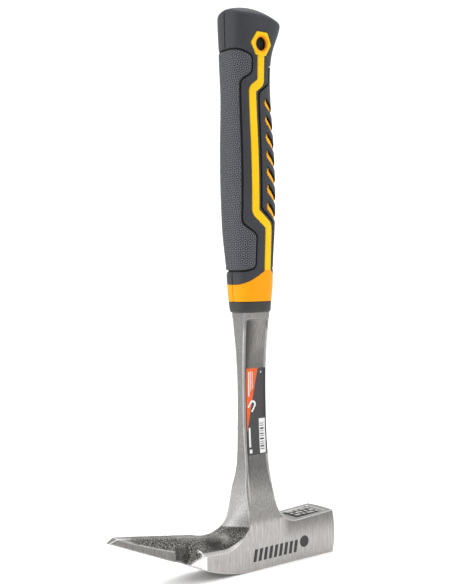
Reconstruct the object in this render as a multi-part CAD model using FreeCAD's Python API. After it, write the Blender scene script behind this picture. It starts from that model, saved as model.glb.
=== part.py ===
import FreeCAD, Part
import math
import os

# Roofing hammer forged in one piece, standing on the flat top of its head.
# Millimetres. +Z runs up along the shank to the butt of the grip, +X points out of
# the striking face, -X to the tip of the spike, and Y is the thickness. The origin
# is on the shank's axis, in the flat face that the hammer stands on.

V = FreeCAD.Vector

# ---------------------------------------------------------------- driving dimensions

# head
HEAD_HALF = 11.5            # half the thickness of the head
FACE_X = 56.8               # flat middle of the striking face
FACE_CROWN_X = 57.2         # the crown round it would peak here
FACE_CROWN_RADIUS = 56.0
FACE_MIDDLE_Z = 13.0
FACE_CHAMFER = 0.8          # on the upright edges of the face
BLOCK_HEIGHT = 26.2         # at the striking face
BLOCK_NECK_HEIGHT = 24.6    # where the block runs into the shank
NECK_RADIUS = 14.0          # fillet between block and shank
NECK_X = 10.5               # half width of the shank above that fillet

# spike
SPIKE_LINE_X = -42.2        # straight outer edge starts here, after the curved part
SPIKE_LINE_Z = 6.4
SPIKE_CURVE_X = -10.0       # the curved part starts here, at Z = 0
SPIKE_ANGLE = 22.3          # degrees that the outer edge rises
TIP_X = -100.8
TIP_Z = 30.2
TIP_RIDGE_X = -95.5         # the ridge stops short of the tip
TIP_RIDGE_Z = 32.4
RIDGE_RADIUS = 25.0         # inner corner between ridge and shank
RIDGE_SLOPE = 8.5           # degrees that the ridge falls towards the shank
RIDGE_HALF = 3.2            # half width of the flat top of the ridge
RIM_RADIUS = 18.0           # the same corner, where it breaks the side of the head
RIM_Z = 14.0
RIM_X = -11.0
RIM_FAR_ANGLE = -86.0       # the rim's arc stops here, towards the tip,
RIM_RISE = 2.0              # and rises this much past the tip
FLANK_PAST = 6.0            # distance past the tip at which both lines end
# plan view of the spike: distance from the axis and half width
SPIKE_PLAN = [(-43.0, HEAD_HALF), (-56.0, 8.9), (-94.0, 3.3), (TIP_X, 1.5)]

# nail puller, cut into the -Y side of the spike
PULLER_X = (-62.0, -56.0)
PULLER_FLOOR_Y = -5.8
PULLER_FLARE = (0.8, 3.0)   # how much the slot widens outwards, tip side and face side
RAMP_LOW = (-55.0, -9.0, 11.6)      # three points in the ramp that leads into the slot
RAMP_HIGH = (-45.5, -10.3, 16.4)
RAMP_INNER = (-54.0, PULLER_FLOOR_Y, 17.5)
RAMP_END = (-45.0, -9.4)

# shank: height, half width along X, half thickness along Y
SHANK_BOTTOM = 28.0
SHANK = [
    (SHANK_BOTTOM, 13.0, HEAD_HALF),
    (38.6, 10.5, 8.8),
    (54.0, 9.3, 5.6),
    (75.0, 8.75, 3.5),
    (98.0, 8.7, 2.9),
    (120.0, 8.9, 3.2),
    (136.0, 9.3, 4.4),
    (153.0, 9.8, 6.4),
]
RECESS_RIM_REAR = 1.9       # rims left along the edges of the shank's sides
RECESS_RIM_FRONT = 0.9
RECESS_DEPTH = 0.9
RECESS_Z = (34.0, 146.0)
TANG = (7.0, 2.8, 294.0)    # half width, half thickness, top of the tang in the grip

# nail starter in the face that the hammer stands on
NAIL_GROOVE_WIDTH = 5.0
NAIL_GROOVE_DEPTH = 4.4
NAIL_GROOVE_X = 26.0        # the groove runs from here out of the striking face
MAGNET_RADIUS = 3.0
MAGNET_LENGTH = 4.0
MAGNET_X = 31.0

# recessed panel on the other side of the block
PANEL_X = (28.0, 50.5)
PANEL_HALF = 7.8
PANEL_FLOOR_Z = 24.5

# grip: height, reach towards -X, reach towards +X, half thickness along Y
GRIP = [
    (150.0, 12.2, 11.7, 8.9),
    (157.0, 12.9, 12.0, 9.7),
    (165.0, 13.5, 12.8, 10.3),
    (176.0, 14.0, 13.0, 10.7),
    (192.0, 15.4, 13.6, 11.9),
    (212.0, 16.3, 14.4, 12.7),
    (232.0, 16.6, 14.2, 12.9),
    (256.0, 16.5, 13.2, 12.2),
    (280.0, 16.4, 11.9, 11.5),
    (292.0, 16.8, 12.0, 11.8),
    (305.0, 17.0, 14.2, 12.6),
    (316.0, 17.2, 18.1, 13.7),
    (321.0, 17.3, 19.3, 14.0),
    (334.0, 17.4, 19.7, 14.2),
]
GRIP_POWER = 3.0            # superellipse: 2 is an ellipse, larger is squarer
SECTION_POINTS = 24
SKIN = 2.4                  # thickness of the moulded outer layer
COLLAR_TOP = 156.6
BUTT_TOP = 327.8
BUTT_CENTRE_X = -3.2
BUTT_RADIUS_X = 39.3        # crown of the butt seen from the side
BUTT_RADIUS_Y = 19.0        # and seen along X
BUTT_SHARE = 0.82           # part of that radius the crown's section covers
BUTT_SWEEP = 45.0           # degrees the crown reaches each way from its middle

# accent layer, as seen from the side
STRIPE_HALF = 2.7
STRIPE_PATH = [(0.3, 300.0), (0.3, 283.6), (-5.8, 279.2), (-5.3, 208.4), (4.5, 200.6), (5.1, 172.0)]
BAND_LEFT_Z = 166.0
BAND_PEAK = (5.1, 175.0)
BAND_RIGHT_Z = 171.0
EYELET_Z = 305.5
EYELET_RADIUS = 7.7         # corner radius of the hexagon
EYELET_PROUD = 0.4
HOLE_RADIUS = 3.7
LINER_RADIUS = 4.9          # outside of the liner of the hanging hole

# textured pad, wrapped round the -X side
PAD_OUTLINE = [
    (-30.0, 302.0), (-16.0, 302.0), (-6.2, 297.5), (-6.2, 289.0), (-13.4, 284.6),
    (-13.4, 201.0), (-4.1, 195.0), (-4.1, 179.0), (-8.0, 175.2), (-30.0, 174.2),
]

# slotted panel, wrapped round the +X side
GRILLE_OUTLINE = [
    (30.0, 294.0), (7.4, 294.0), (6.9, 283.4), (-1.4, 277.6), (-1.2, 210.4),
    (8.4, 202.6), (9.6, 176.0), (30.0, 172.5),
]
UNDERLAY_FOOT = [(9.6, 168.0), (30.0, 168.0)]   # the layer under it runs into the band
SLOT_COUNT = 7
SLOT_TOP_Z = 275.0
SLOT_PITCH = 10.0
SLOT_HEIGHT = 3.8
SLOT_LEFT_X = 2.8
SLOT_SLOPE = 0.85           # how far a slot falls for each millimetre towards +X
GRILLE_SKIN = 1.3           # thickness of the panel; the accent layer lies under it

# printed film on the shank
LABEL_X = (-5.8, 7.6)
LABEL_Z = (65.8, 117.0)
LABEL_THICKNESS = 0.15

PAST = 30.0                 # reach of a cutting body beyond the part
CLEAR = 0.4                 # how far a cutting surface starts outside the part


# ---------------------------------------------------------------- helpers

def wire(*edges):
    return Part.Wire(list(edges))


def line(start, end):
    return Part.LineSegment(start, end).toShape()


def arc(start, middle, end):
    return Part.Arc(start, middle, end).toShape()


def smooth(points):
    curve = Part.BSplineCurve()
    curve.interpolate(points)
    return curve.toShape()


def outline_xz(points, y_from, y_to):
    """Prism along Y over a polygon given as (x, z)."""
    corners = [V(x, y_from, z) for x, z in points]
    face = Part.Face(Part.makePolygon(corners + corners[:1]))
    return face.extrude(V(0, y_to - y_from, 0))


def outline_xy(points, z_from, z_to):
    """Prism along Z over a polygon given as (x, y)."""
    corners = [V(x, y, z_from) for x, y in points]
    face = Part.Face(Part.makePolygon(corners + corners[:1]))
    return face.extrude(V(0, 0, z_to - z_from))


def mirror_y(shape):
    return shape.mirror(V(0, 0, 0), V(0, 1, 0))


def box(x_range, y_range, z_range):
    size = [high - low for low, high in (x_range, y_range, z_range)]
    return Part.makeBox(*size, V(x_range[0], y_range[0], z_range[0]))


# ---------------------------------------------------------------- forging

def ridge_z(x):
    return TIP_RIDGE_Z - math.tan(math.radians(RIDGE_SLOPE)) * (x - TIP_RIDGE_X)


def on_circle(centre, radius, degrees, y=0.0):
    angle = math.radians(degrees)
    return V(centre[0] + radius * math.cos(angle), y, centre[1] + radius * math.sin(angle))


def ridge_centre():
    """Centre of the inner corner between the ridge and the shank."""
    x = -NECK_X - RIDGE_RADIUS
    return x, ridge_z(x) + RIDGE_RADIUS / math.cos(math.radians(RIDGE_SLOPE))


def side_profile():
    """The whole forging seen along Y, up to where the tang starts."""
    outer_radius = (SPIKE_CURVE_X - SPIKE_LINE_X) / math.sin(math.radians(SPIKE_ANGLE))
    outer_centre = (SPIKE_CURVE_X, outer_radius)
    tip = V(TIP_X, 0, TIP_Z)
    spike_line = on_circle(outer_centre, outer_radius, -90 - SPIKE_ANGLE)
    spike_middle = on_circle(outer_centre, outer_radius, -90 - SPIKE_ANGLE / 2)
    spike_foot = V(SPIKE_CURVE_X, 0, 0)
    face_foot = V(FACE_X, 0, 0)
    face_head = V(FACE_X, 0, BLOCK_HEIGHT)
    neck_centre = (NECK_X + NECK_RADIUS, BLOCK_NECK_HEIGHT + NECK_RADIUS)
    neck_foot = on_circle(neck_centre, NECK_RADIUS, -90)
    neck_middle = on_circle(neck_centre, NECK_RADIUS, -135)
    neck_head = on_circle(neck_centre, NECK_RADIUS, 180)
    front = [neck_head] + [V(half_x, 0, z) for z, half_x, half_y in SHANK[2:]]
    rear = [V(-point.x, 0, point.z) for point in front[1:]]
    ridge_foot = on_circle(ridge_centre(), RIDGE_RADIUS, -90 - RIDGE_SLOPE)
    ridge_middle = on_circle(ridge_centre(), RIDGE_RADIUS, -45 - RIDGE_SLOPE / 2)
    ridge_head = on_circle(ridge_centre(), RIDGE_RADIUS, 0)
    rear = [ridge_head] + rear
    tip_ridge = V(TIP_RIDGE_X, 0, TIP_RIDGE_Z)
    return wire(
        line(tip, spike_line),
        arc(spike_line, spike_middle, spike_foot),
        line(spike_foot, face_foot),
        line(face_foot, face_head),
        line(face_head, neck_foot),
        arc(neck_foot, neck_middle, neck_head),
        smooth(front),
        line(front[-1], rear[-1]),
        smooth(rear[::-1]),
        arc(ridge_head, ridge_middle, ridge_foot),
        line(ridge_foot, tip_ridge),
        line(tip_ridge, tip),
    )


def thickness_profile():
    """The forging seen along X: full head thickness, then the waisted shank."""
    right = [V(0, half_y, z) for z, half_x, half_y in SHANK]
    left = [V(0, -point.y, point.z) for point in right[::-1]]
    foot_right = V(0, HEAD_HALF, -1)
    foot_left = V(0, -HEAD_HALF, -1)
    return wire(
        line(foot_left, foot_right),
        line(foot_right, right[0]),
        smooth(right),
        line(right[-1], left[0]),
        smooth(left),
        line(left[-1], foot_left),
    )


def flank_cutter():
    """What is missing beside the ridge, on the -Y side: a ruled surface between the
    ridge and the rim that the same corner makes in the side of the head."""
    far_x = TIP_X - FLANK_PAST
    top_z = SHANK[3][0]
    rim_centre = (RIM_X - RIM_RADIUS, RIM_Z + RIM_RADIUS)
    ridge_side = (CLEAR - RIDGE_HALF, ridge_centre(), RIDGE_RADIUS - CLEAR, -90 - RIDGE_SLOPE,
                  ridge_z(far_x) + CLEAR, -NECK_X - CLEAR)
    rim_side = (-HEAD_HALF - CLEAR, rim_centre, RIM_RADIUS, RIM_FAR_ANGLE,
                RIM_Z + RIM_RISE, RIM_X + CLEAR)
    wires = []
    for y, centre, radius, start, far_z, top_x in (ridge_side, rim_side):
        low = on_circle(centre, radius, start, y)
        middle = on_circle(centre, radius, start / 2, y)
        high = on_circle(centre, radius, 0, y)
        top = V(top_x, y, top_z)
        far_top = V(far_x, y, top_z)
        far = V(far_x, y, far_z)
        wires.append(wire(
            line(far, low),
            arc(low, middle, high),
            line(high, top),
            line(top, far_top),
            line(far_top, far),
        ))
    return Part.makeLoft(wires, True, True)


def shank_recess():
    """Shallow dish in the -Y side of the shank, with a rim left along both edges."""
    low_z, high_z = RECESS_Z
    stations = [(z, x, y) for z, x, y in SHANK if low_z < z < high_z]
    stations = [(low_z,) + stations[0][1:]] + stations + [(high_z,) + stations[-1][1:]]
    front = [V(x - RECESS_RIM_FRONT, 0, z) for z, x, y in stations]
    rear = [V(RECESS_RIM_REAR - x, 0, z) for z, x, y in stations[::-1]]
    plan = Part.Face(wire(
        smooth(front),
        line(front[-1], rear[0]),
        smooth(rear),
        line(rear[-1], front[0]),
    ))
    prism = plan.extrude(V(0, -PAST, 0))
    floor = [V(0, -y + RECESS_DEPTH, z) for z, x, y in SHANK[1:]]
    floor[0].y -= RECESS_DEPTH
    outside = Part.Face(wire(
        smooth(floor),
        line(floor[-1], V(0, -PAST, floor[-1].z)),
        line(V(0, -PAST, floor[-1].z), V(0, -PAST, floor[0].z)),
        line(V(0, -PAST, floor[0].z), floor[0]),
    )).extrude(V(2 * PAST, 0, 0))
    outside.translate(V(-PAST, 0, 0))
    return prism.common(outside)


def puller_cutter():
    """V-shaped nail puller: a slot through the side of the spike and a ramp that
    leads a nail's head into it."""
    left, right = PULLER_X
    flare_left, flare_right = PULLER_FLARE
    outside_y = -HEAD_HALF - 1
    slot = outline_xy([
        (left - flare_left, outside_y),
        (left + flare_left, PULLER_FLOOR_Y),
        (right, PULLER_FLOOR_Y),
        (right + flare_right, outside_y),
    ], -PAST, PAST)
    low = V(*RAMP_LOW)
    normal = (V(*RAMP_HIGH) - low).cross(V(*RAMP_INNER) - low)
    above = Part.makeBox(2 * PAST, 2 * PAST, PAST, V(-PAST, -PAST, 0))
    above.Placement = FreeCAD.Placement(low, FreeCAD.Rotation(V(0, 0, 1), normal))
    reach = outline_xy([
        (left + flare_left, outside_y),
        (left + flare_left, PULLER_FLOOR_Y),
        (right, PULLER_FLOOR_Y),
        RAMP_END,
        (RAMP_END[0], outside_y),
    ], 0, PAST)
    return slot.fuse(above.common(reach))


def face_crown():
    """What is missing round the crowned striking face."""
    around = box((FACE_X - 2 * NECK_RADIUS, FACE_CROWN_X), (-PAST, PAST), (-1, PAST))
    centre = V(FACE_CROWN_X - FACE_CROWN_RADIUS, 0, FACE_MIDDLE_Z)
    return around.cut(Part.makeSphere(FACE_CROWN_RADIUS, centre))


def forged_body():
    body = Part.Face(side_profile()).extrude(V(0, 2 * HEAD_HALF + 2, 0))
    body.translate(V(0, -HEAD_HALF - 1, 0))
    thickness = Part.Face(thickness_profile()).extrude(V(3 * -TIP_X, 0, 0))
    thickness.translate(V(2 * TIP_X, 0, 0))
    body = body.common(thickness)

    plan = [(FACE_X, HEAD_HALF - FACE_CHAMFER), (FACE_X - FACE_CHAMFER, HEAD_HALF)] + SPIKE_PLAN
    plan += [(x, -y) for x, y in plan[::-1]]
    body = body.common(outline_xy(plan, -PAST, SHANK[-1][0] + PAST))

    flank = flank_cutter()
    body = body.cut(flank).cut(mirror_y(flank))
    recess = shank_recess()
    body = body.cut(recess).cut(mirror_y(recess))
    body = body.cut(puller_cutter())

    panel = box(PANEL_X, (-PANEL_HALF, PANEL_HALF), (PANEL_FLOOR_Z, PAST))
    body = body.cut(panel).cut(face_crown())
    half = NAIL_GROOVE_WIDTH / 2
    groove = box((NAIL_GROOVE_X, FACE_X + 1), (-half, half), (-1, NAIL_GROOVE_DEPTH))
    pocket = Part.makeCylinder(MAGNET_RADIUS, MAGNET_LENGTH, V(MAGNET_X, 0, NAIL_GROOVE_DEPTH))
    body = body.cut(groove).cut(pocket)

    tang_x, tang_y, tang_top = TANG
    tang = box((-tang_x, tang_x), (-tang_y, tang_y), (SHANK[-1][0] - 1, tang_top))
    return body.fuse(tang).removeSplitter()


def nail_magnet():
    return Part.makeCylinder(MAGNET_RADIUS, MAGNET_LENGTH, V(MAGNET_X, 0, NAIL_GROOVE_DEPTH))


# ---------------------------------------------------------------- grip

def grip_section(station, inset):
    z, rear, front, half_y = station
    half_x = (rear + front) / 2 - inset
    half_y = half_y - inset
    middle = (front - rear) / 2
    power = 2 / GRIP_POWER
    points = []
    for step in range(SECTION_POINTS):
        angle = 2 * math.pi * step / SECTION_POINTS
        x = math.copysign(abs(math.cos(angle)) ** power, math.cos(angle))
        y = math.copysign(abs(math.sin(angle)) ** power, math.sin(angle))
        points.append(V(middle + half_x * x, half_y * y, z))
    curve = Part.BSplineCurve()
    curve.interpolate(points, PeriodicFlag=True)
    return wire(curve.toShape())


def grip_solid(inset, top_drop):
    """Lofted grip, closed by the crowned butt."""
    body = Part.makeLoft([grip_section(station, inset) for station in GRIP], True)
    axis_z = BUTT_TOP - BUTT_RADIUS_X
    side_y = BUTT_RADIUS_Y * BUTT_SHARE
    side_z = BUTT_TOP - BUTT_RADIUS_Y + math.sqrt(BUTT_RADIUS_Y ** 2 - side_y ** 2)
    low_z = axis_z + 2
    crown = Part.Face(wire(
        arc(V(0, -side_y, side_z), V(0, 0, BUTT_TOP), V(0, side_y, side_z)),
        line(V(0, side_y, side_z), V(0, side_y, low_z)),
        line(V(0, side_y, low_z), V(0, -side_y, low_z)),
        line(V(0, -side_y, low_z), V(0, -side_y, side_z)),
    ))
    crown = crown.revolve(V(0, 0, axis_z), V(0, 1, 0), 2 * BUTT_SWEEP)
    crown.rotate(V(0, 0, axis_z), V(0, 1, 0), -BUTT_SWEEP)
    crown.translate(V(BUTT_CENTRE_X, 0, -top_drop))
    lower = box((-PAST, PAST), (-PAST, PAST), (GRIP[0][0] - 1, GRIP[-2][0] - 12))
    return body.common(crown).fuse(body.common(lower)).removeSplitter()


def hole_cylinder(radius):
    return Part.makeCylinder(radius, 2 * PAST, V(0, -PAST, EYELET_Z), V(0, 1, 0))


def eyelet_prism(half_y):
    corners = []
    for step in range(6):
        angle = math.radians(60 * step)
        corners.append((EYELET_RADIUS * math.cos(angle), EYELET_Z + EYELET_RADIUS * math.sin(angle)))
    return outline_xz(corners, -half_y, half_y)


def stripe_prism():
    """The stripe as seen from the side: its path, offset both ways."""
    path = [V(x, 0, z) for x, z in STRIPE_PATH]
    left = []
    right = []
    for i, point in enumerate(path):
        before = (point - path[i - 1]).normalize() if i else None
        after = (path[i + 1] - point).normalize() if i + 1 < len(path) else None
        before = before or after
        after = after or before
        normal = V(-before.z - after.z, 0, before.x + after.x).normalize()
        reach = STRIPE_HALF / normal.dot(V(-after.z, 0, after.x))
        left.append((point.x + reach * normal.x, point.z + reach * normal.z))
        right.append((point.x - reach * normal.x, point.z - reach * normal.z))
    return outline_xz(left + right[::-1], -PAST, PAST)


def band_prism():
    peak_x, peak_z = BAND_PEAK
    return outline_xz([
        (-PAST, COLLAR_TOP), (PAST, COLLAR_TOP), (PAST, BAND_RIGHT_Z - 8), (12.0, BAND_RIGHT_Z),
        (peak_x + STRIPE_HALF, peak_z), (peak_x - STRIPE_HALF, peak_z - 0.6), (-14.0, BAND_LEFT_Z),
        (-PAST, BAND_LEFT_Z - 1),
    ], -PAST, PAST)


def slot_prisms():
    """Slanted slots of the slotted panel, falling from the side to the +X edge."""
    fall = SLOT_SLOPE * (PAST - SLOT_LEFT_X)
    slots = []
    for index in range(SLOT_COUNT):
        top = SLOT_TOP_Z - index * SLOT_PITCH
        slots.append(outline_xz([
            (SLOT_LEFT_X + 1.2, top), (SLOT_LEFT_X, top - SLOT_HEIGHT),
            (PAST, top - SLOT_HEIGHT - fall), (PAST, top - fall),
        ], -PAST, PAST))
    return slots


def grip_core(outer, inner, above_collar):
    """Hard core round the tang, ending in the collar."""
    tang_x, tang_y, tang_top = TANG
    cavity = box((-tang_x, tang_x), (-tang_y, tang_y), (SHANK[-1][0] - 1, tang_top))
    shank_end = box((-PAST, PAST), (-PAST, PAST), (GRIP[0][0] - 1, SHANK[-1][0]))
    core = outer.cut(above_collar).fuse(inner.common(above_collar))
    core = core.cut(cavity).cut(hole_cylinder(LINER_RADIUS))
    return core.cut(forging.common(shank_end))


def grip_parts():
    outer = grip_solid(0, 0)
    inner = grip_solid(SKIN, SKIN)
    middle = grip_solid(GRILLE_SKIN, GRILLE_SKIN)
    above_collar = box((-PAST, PAST), (-PAST, PAST), (COLLAR_TOP, BUTT_TOP + 2))
    sleeve = outer.common(above_collar)

    lines = stripe_prism().fuse(band_prism())
    pad_area = outline_xz(PAD_OUTLINE, -PAST, PAST)
    grille_area = outline_xz(GRILLE_OUTLINE, -PAST, PAST)
    hexagon = eyelet_prism(PAST)
    hole = hole_cylinder(HOLE_RADIUS)

    proud = Part.makeLoft([grip_section(station, -EYELET_PROUD) for station in GRIP], True)
    under = middle.common(outline_xz(GRILLE_OUTLINE[:-2] + UNDERLAY_FOOT, -PAST, PAST)).cut(inner)
    grille = sleeve.common(grille_area).cut(middle)
    for slot in slot_prisms():
        grille = grille.cut(slot)
        under = under.cut(slot)

    accent = sleeve.common(lines).cut(inner)
    accent = accent.fuse(proud.common(hexagon).cut(inner))
    accent = accent.fuse(sleeve.common(hole_cylinder(LINER_RADIUS)))
    accent = accent.fuse(under).cut(hole)
    skin = sleeve.cut(lines).cut(pad_area).cut(grille_area).cut(hexagon).cut(inner).cut(under)
    return {
        "grip_core": grip_core(outer, inner, above_collar),
        "grip_accent": accent,
        "grip_skin": skin,
        "palm_pad": sleeve.common(pad_area).cut(inner),
        "slotted_panel": grille,
    }


# ---------------------------------------------------------------- label

def shank_label():
    """Thin film that follows the dished side of the shank."""
    low_z, high_z = LABEL_Z
    floor = [V(LABEL_X[0], -y + RECESS_DEPTH, z) for z, x, y in SHANK[1:]]
    floor[0].y -= RECESS_DEPTH
    raised = [V(point.x, point.y - LABEL_THICKNESS, point.z) for point in floor]
    strip = Part.Face(wire(
        smooth(floor),
        line(floor[-1], raised[-1]),
        smooth(raised[::-1]),
        line(raised[0], floor[0]),
    )).extrude(V(LABEL_X[1] - LABEL_X[0], 0, 0))
    return strip.common(box((-PAST, PAST), (-PAST, PAST), (low_z, high_z)))


forging = forged_body()
nodes = {"forged_body": forging, "nail_magnet": nail_magnet(), "shank_label": shank_label()}
nodes.update(grip_parts())

os.makedirs("parts", exist_ok=True)
for name, shape in nodes.items():
    shape.exportStep("parts/" + name + ".step")
    print(name, len(shape.Solids), "solids", round(shape.Volume / 1000, 2), "cm3", shape.isValid())
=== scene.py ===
import math

import bmesh
import bpy
import numpy as np
from mathutils import Matrix, Vector, noise
from mathutils.bvhtree import BVHTree
from mathutils.kdtree import KDTree


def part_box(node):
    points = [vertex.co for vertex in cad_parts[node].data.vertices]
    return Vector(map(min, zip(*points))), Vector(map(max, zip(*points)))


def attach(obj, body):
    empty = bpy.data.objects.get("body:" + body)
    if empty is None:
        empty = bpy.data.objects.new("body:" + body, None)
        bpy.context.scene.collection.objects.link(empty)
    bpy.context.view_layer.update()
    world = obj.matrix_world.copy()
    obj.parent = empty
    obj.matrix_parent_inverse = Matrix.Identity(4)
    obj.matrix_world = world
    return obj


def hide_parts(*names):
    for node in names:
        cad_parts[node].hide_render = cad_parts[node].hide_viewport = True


# Looks of the roofing hammer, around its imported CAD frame. Sizes are in millimetres
# until a mesh is made, where MM turns them into metres.

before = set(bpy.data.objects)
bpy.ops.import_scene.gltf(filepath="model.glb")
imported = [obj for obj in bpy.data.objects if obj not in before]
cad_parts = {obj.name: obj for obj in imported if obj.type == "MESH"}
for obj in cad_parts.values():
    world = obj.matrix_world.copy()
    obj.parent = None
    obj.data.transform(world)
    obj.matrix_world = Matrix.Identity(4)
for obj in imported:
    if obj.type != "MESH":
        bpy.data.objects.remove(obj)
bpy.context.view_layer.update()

MM = 0.001
PAST = 30.0                     # reach of an outline beyond the grip

# ---------------------------------------------------------------- driving dimensions

# grip: height, reach towards -X, reach towards +X, half thickness along Y
GRIP = [
    (150.0, 12.2, 11.7, 8.9),
    (157.0, 12.9, 12.0, 9.7),
    (165.0, 13.5, 12.8, 10.3),
    (176.0, 14.0, 13.0, 10.7),
    (192.0, 15.4, 13.6, 11.9),
    (212.0, 16.3, 14.4, 12.7),
    (232.0, 16.6, 14.2, 12.9),
    (256.0, 16.5, 13.2, 12.2),
    (280.0, 16.4, 11.9, 11.5),
    (292.0, 16.8, 12.0, 11.8),
    (305.0, 17.0, 14.2, 12.6),
    (316.0, 17.2, 18.1, 13.7),
    (321.0, 17.3, 19.3, 13.8),
    (334.0, 17.4, 19.7, 13.9),
]
GRIP_POWER = 3.0                # superellipse of the grip's section
SKIN = 2.4                      # thickness of the moulded outer layer
COLLAR_BOTTOM = 150.0
COLLAR_TOP = 156.6
COLLAR_ROUNDING = 1.3
RIM_ROUNDING = 2.9              # edge between the side of the grip and its butt
BUTT_TOP = 327.65
BUTT_CENTRE_X = -3.2
BUTT_RADIUS_X = 37.4
BUTT_RADIUS_Y = 16.9
GRID_STEP = 0.34               # spacing of the grip's mesh

STRIPE_HALF = 2.6
STRIPE_PATH = [(0.3, 301.0), (0.3, 283.6), (-5.8, 279.2), (-5.3, 208.4), (4.5, 200.6), (5.1, 172.0)]
BAND_OUTLINE = [
    (-PAST, 150.0), (PAST, 150.0), (PAST, 163.0), (12.0, 171.0), (7.8, 175.0), (2.4, 174.2),
    (-3.0, 171.2), (-8.5, 168.4), (-14.0, 166.2), (-PAST, 165.0),
]
EYELET_Z = 305.5
EYELET_RADIUS = 7.7
EYELET_PROUD = 0.4
HOLE_RADIUS = 3.85
HOLE_MOUTH = 4.85               # radius of the hole's flared mouth
MOUTH_DEPTH = 0.9
PAD_OUTLINE = [
    (-PAST, 302.0), (-16.0, 302.0), (-6.2, 298.4), (-6.2, 288.4), (-13.4, 284.2),
    (-13.4, 201.6), (-4.1, 195.4), (-4.1, 176.2), (-10.0, 174.4), (-PAST, 174.2),
]
GRILLE_OUTLINE = [
    (PAST, 294.0), (7.4, 294.0), (6.9, 283.4), (-1.4, 277.6), (-1.2, 210.4),
    (8.6, 202.6), (9.6, 176.0), (PAST, 172.5),
]
BAND_TOP_Z = 175.0              # below it the accent layer is a deeper orange
PANEL_THICKNESS = 0.8           # the accent layer lies under the slotted panel
SLOT_COUNT = 7
SLOT_TOP_Z = 275.0
SLOT_PITCH = 10.0
SLOT_HEIGHT = 4.3
SLOT_LEFT_X = 2.8
SLOT_SLOPE = 0.85
UNDERLAY_MARGIN = 1.2           # the layer stays this far inside the panel's outline
LEDGE = 1.8                     # accent layer showing along the lower side of a slot

GROOVE_DEPTH = 1.2              # round the pad and the slotted panel
GROOVE_HALF = 0.42
GROOVE_EDGE = 0.28              # rounding of the groove's lips
SLOPE_DEPTH = 0.45              # the skin dips gently towards the pad's groove
SLOPE_REACH = 2.6
SEAM_DEPTH = 0.3                # shallow joint round the stripe
PARTING_HALF = 0.3              # mould's parting line on the -X side
PARTING_DEPTH = 0.4
WEAVE_PITCH = 1.35
WEAVE_HEIGHT = 0.2

# shank: height, half width along X, half thickness along Y
SHANK = [
    (28.0, 13.0, 11.5),
    (38.6, 10.5, 8.8),
    (54.0, 9.3, 5.6),
    (75.0, 8.75, 3.5),
    (98.0, 8.7, 2.9),
    (120.0, 8.9, 3.2),
    (136.0, 9.3, 4.4),
    (153.0, 9.8, 6.4),
]
HEAD_HALF = 11.5                # half thickness of the head
RECESS_RIM_REAR = 1.9
RECESS_RIM_FRONT = 0.9
SHANK_CUT = 154.0               # the tang above it is hidden in the grip
VOXEL = 0.4
EDGE_ANGLE = 20.0               # sharper edges of the forging are eased
EDGE_SPACING = 0.3
EDGE_REACH = 0.7
EASE_ROUNDS = 3
FLANK_ROUNDS = 800              # blending of the ridge's flank into the shank
SHOULDER_ROUNDS = 150
RELAX_STEP = 0.6
# fades: where the effect is 0 and where it is full, at each end
FLANK_Z = ((15.0, 19.0), (66.0, 58.0))
CREST_Z = ((21.0, 25.0), (66.0, 58.0))
SHOULDER_Z = ((17.0, 24.0), (58.0, 44.0))
PULLER_BACK_X = ((-61.5, -59.5), (-46.5, -49.0))
PULLER_BACK_Y = ((-8.7, -7.9), (-2.0, -4.0))
DISH_ENDS_Z = ((40.0, 62.0), (147.5, 145.0))
FACET_X = ((-57.5, -56.5), (-42.4, -43.4))
FLANK_HALF_Y = 10.2             # the ridge's blend stays inside these
SHANK_REAR_X = -7.0
SKIN_TOP_Z = 26.6               # the forging skin ends here, below the shank
RIDGE = (-95.5, 32.4, 8.5)      # ridge's start x, z and its fall in degrees
RIM_FACET = 1.5                 # clean strip between the forging skin and the head's side
BOSS = (-26.3, -5.8, 20.0)      # round bump in the corner of the spike
BOSS_RADIUS = 5.4
BOSS_HEIGHT = 2.0
HOLLOW = (-34.0, -6.2, 20.5)    # hollow beside it
HOLLOW_RADIUS = 5.5
HOLLOW_DEPTH = 1.4

LABEL_X = (-5.8, 8.2)
LABEL_Z = (65.8, 117.0)
LABEL_LIFT = 0.15
FILM = 0.02                     # thickness of the print on the label
LABEL_SIGN = (-1.2, 95.6)       # horseshoe sign, turned
LABEL_SIGN_TURN = -35
INK_LIFT = 0.06
HATCH_COUNT = 9
HATCH_X = -9.6
HATCH_PITCH = 3.9
HATCH_WIDTH = 2.3
HATCH_LEAN = 1.4
HATCH_Z = (5.4, 12.6)
DISC = (30.4, 10.7)
DISC_RADIUS = 3.5
PANEL_FLOOR_Z = 24.5            # recess in the block, with raised bars
PANEL_X = (28.0, 50.5)
PANEL_HALF = 7.8
PANEL_ROWS = ((4.2, 2.2, 5.6, 2.2), (2.2, 5.6, 2.2, 4.2), (5.6, 2.2, 4.2, 2.2))

CAMERA_PLACE = (-0.3746, -0.4571, 0.1766)              # metres
CAMERA_YAW = 37.933             # degrees from +Y towards +X
CAMERA_PITCH = -1.409
CAMERA_ROLL = -0.689
FOCAL_IN_FRAME_HEIGHTS = 1000.04 / 584.0
SENSOR = 36.0
WORLD_DIM = 0.24
WORLD_BRIGHT = 1.25
FLOOR_RADIUS = 1.15             # metres


# ---------------------------------------------------------------- meshes

def placed(name, data):
    """New object in the scene."""
    item = bpy.data.objects.new(name, data)
    bpy.context.scene.collection.objects.link(item)
    return item


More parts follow.
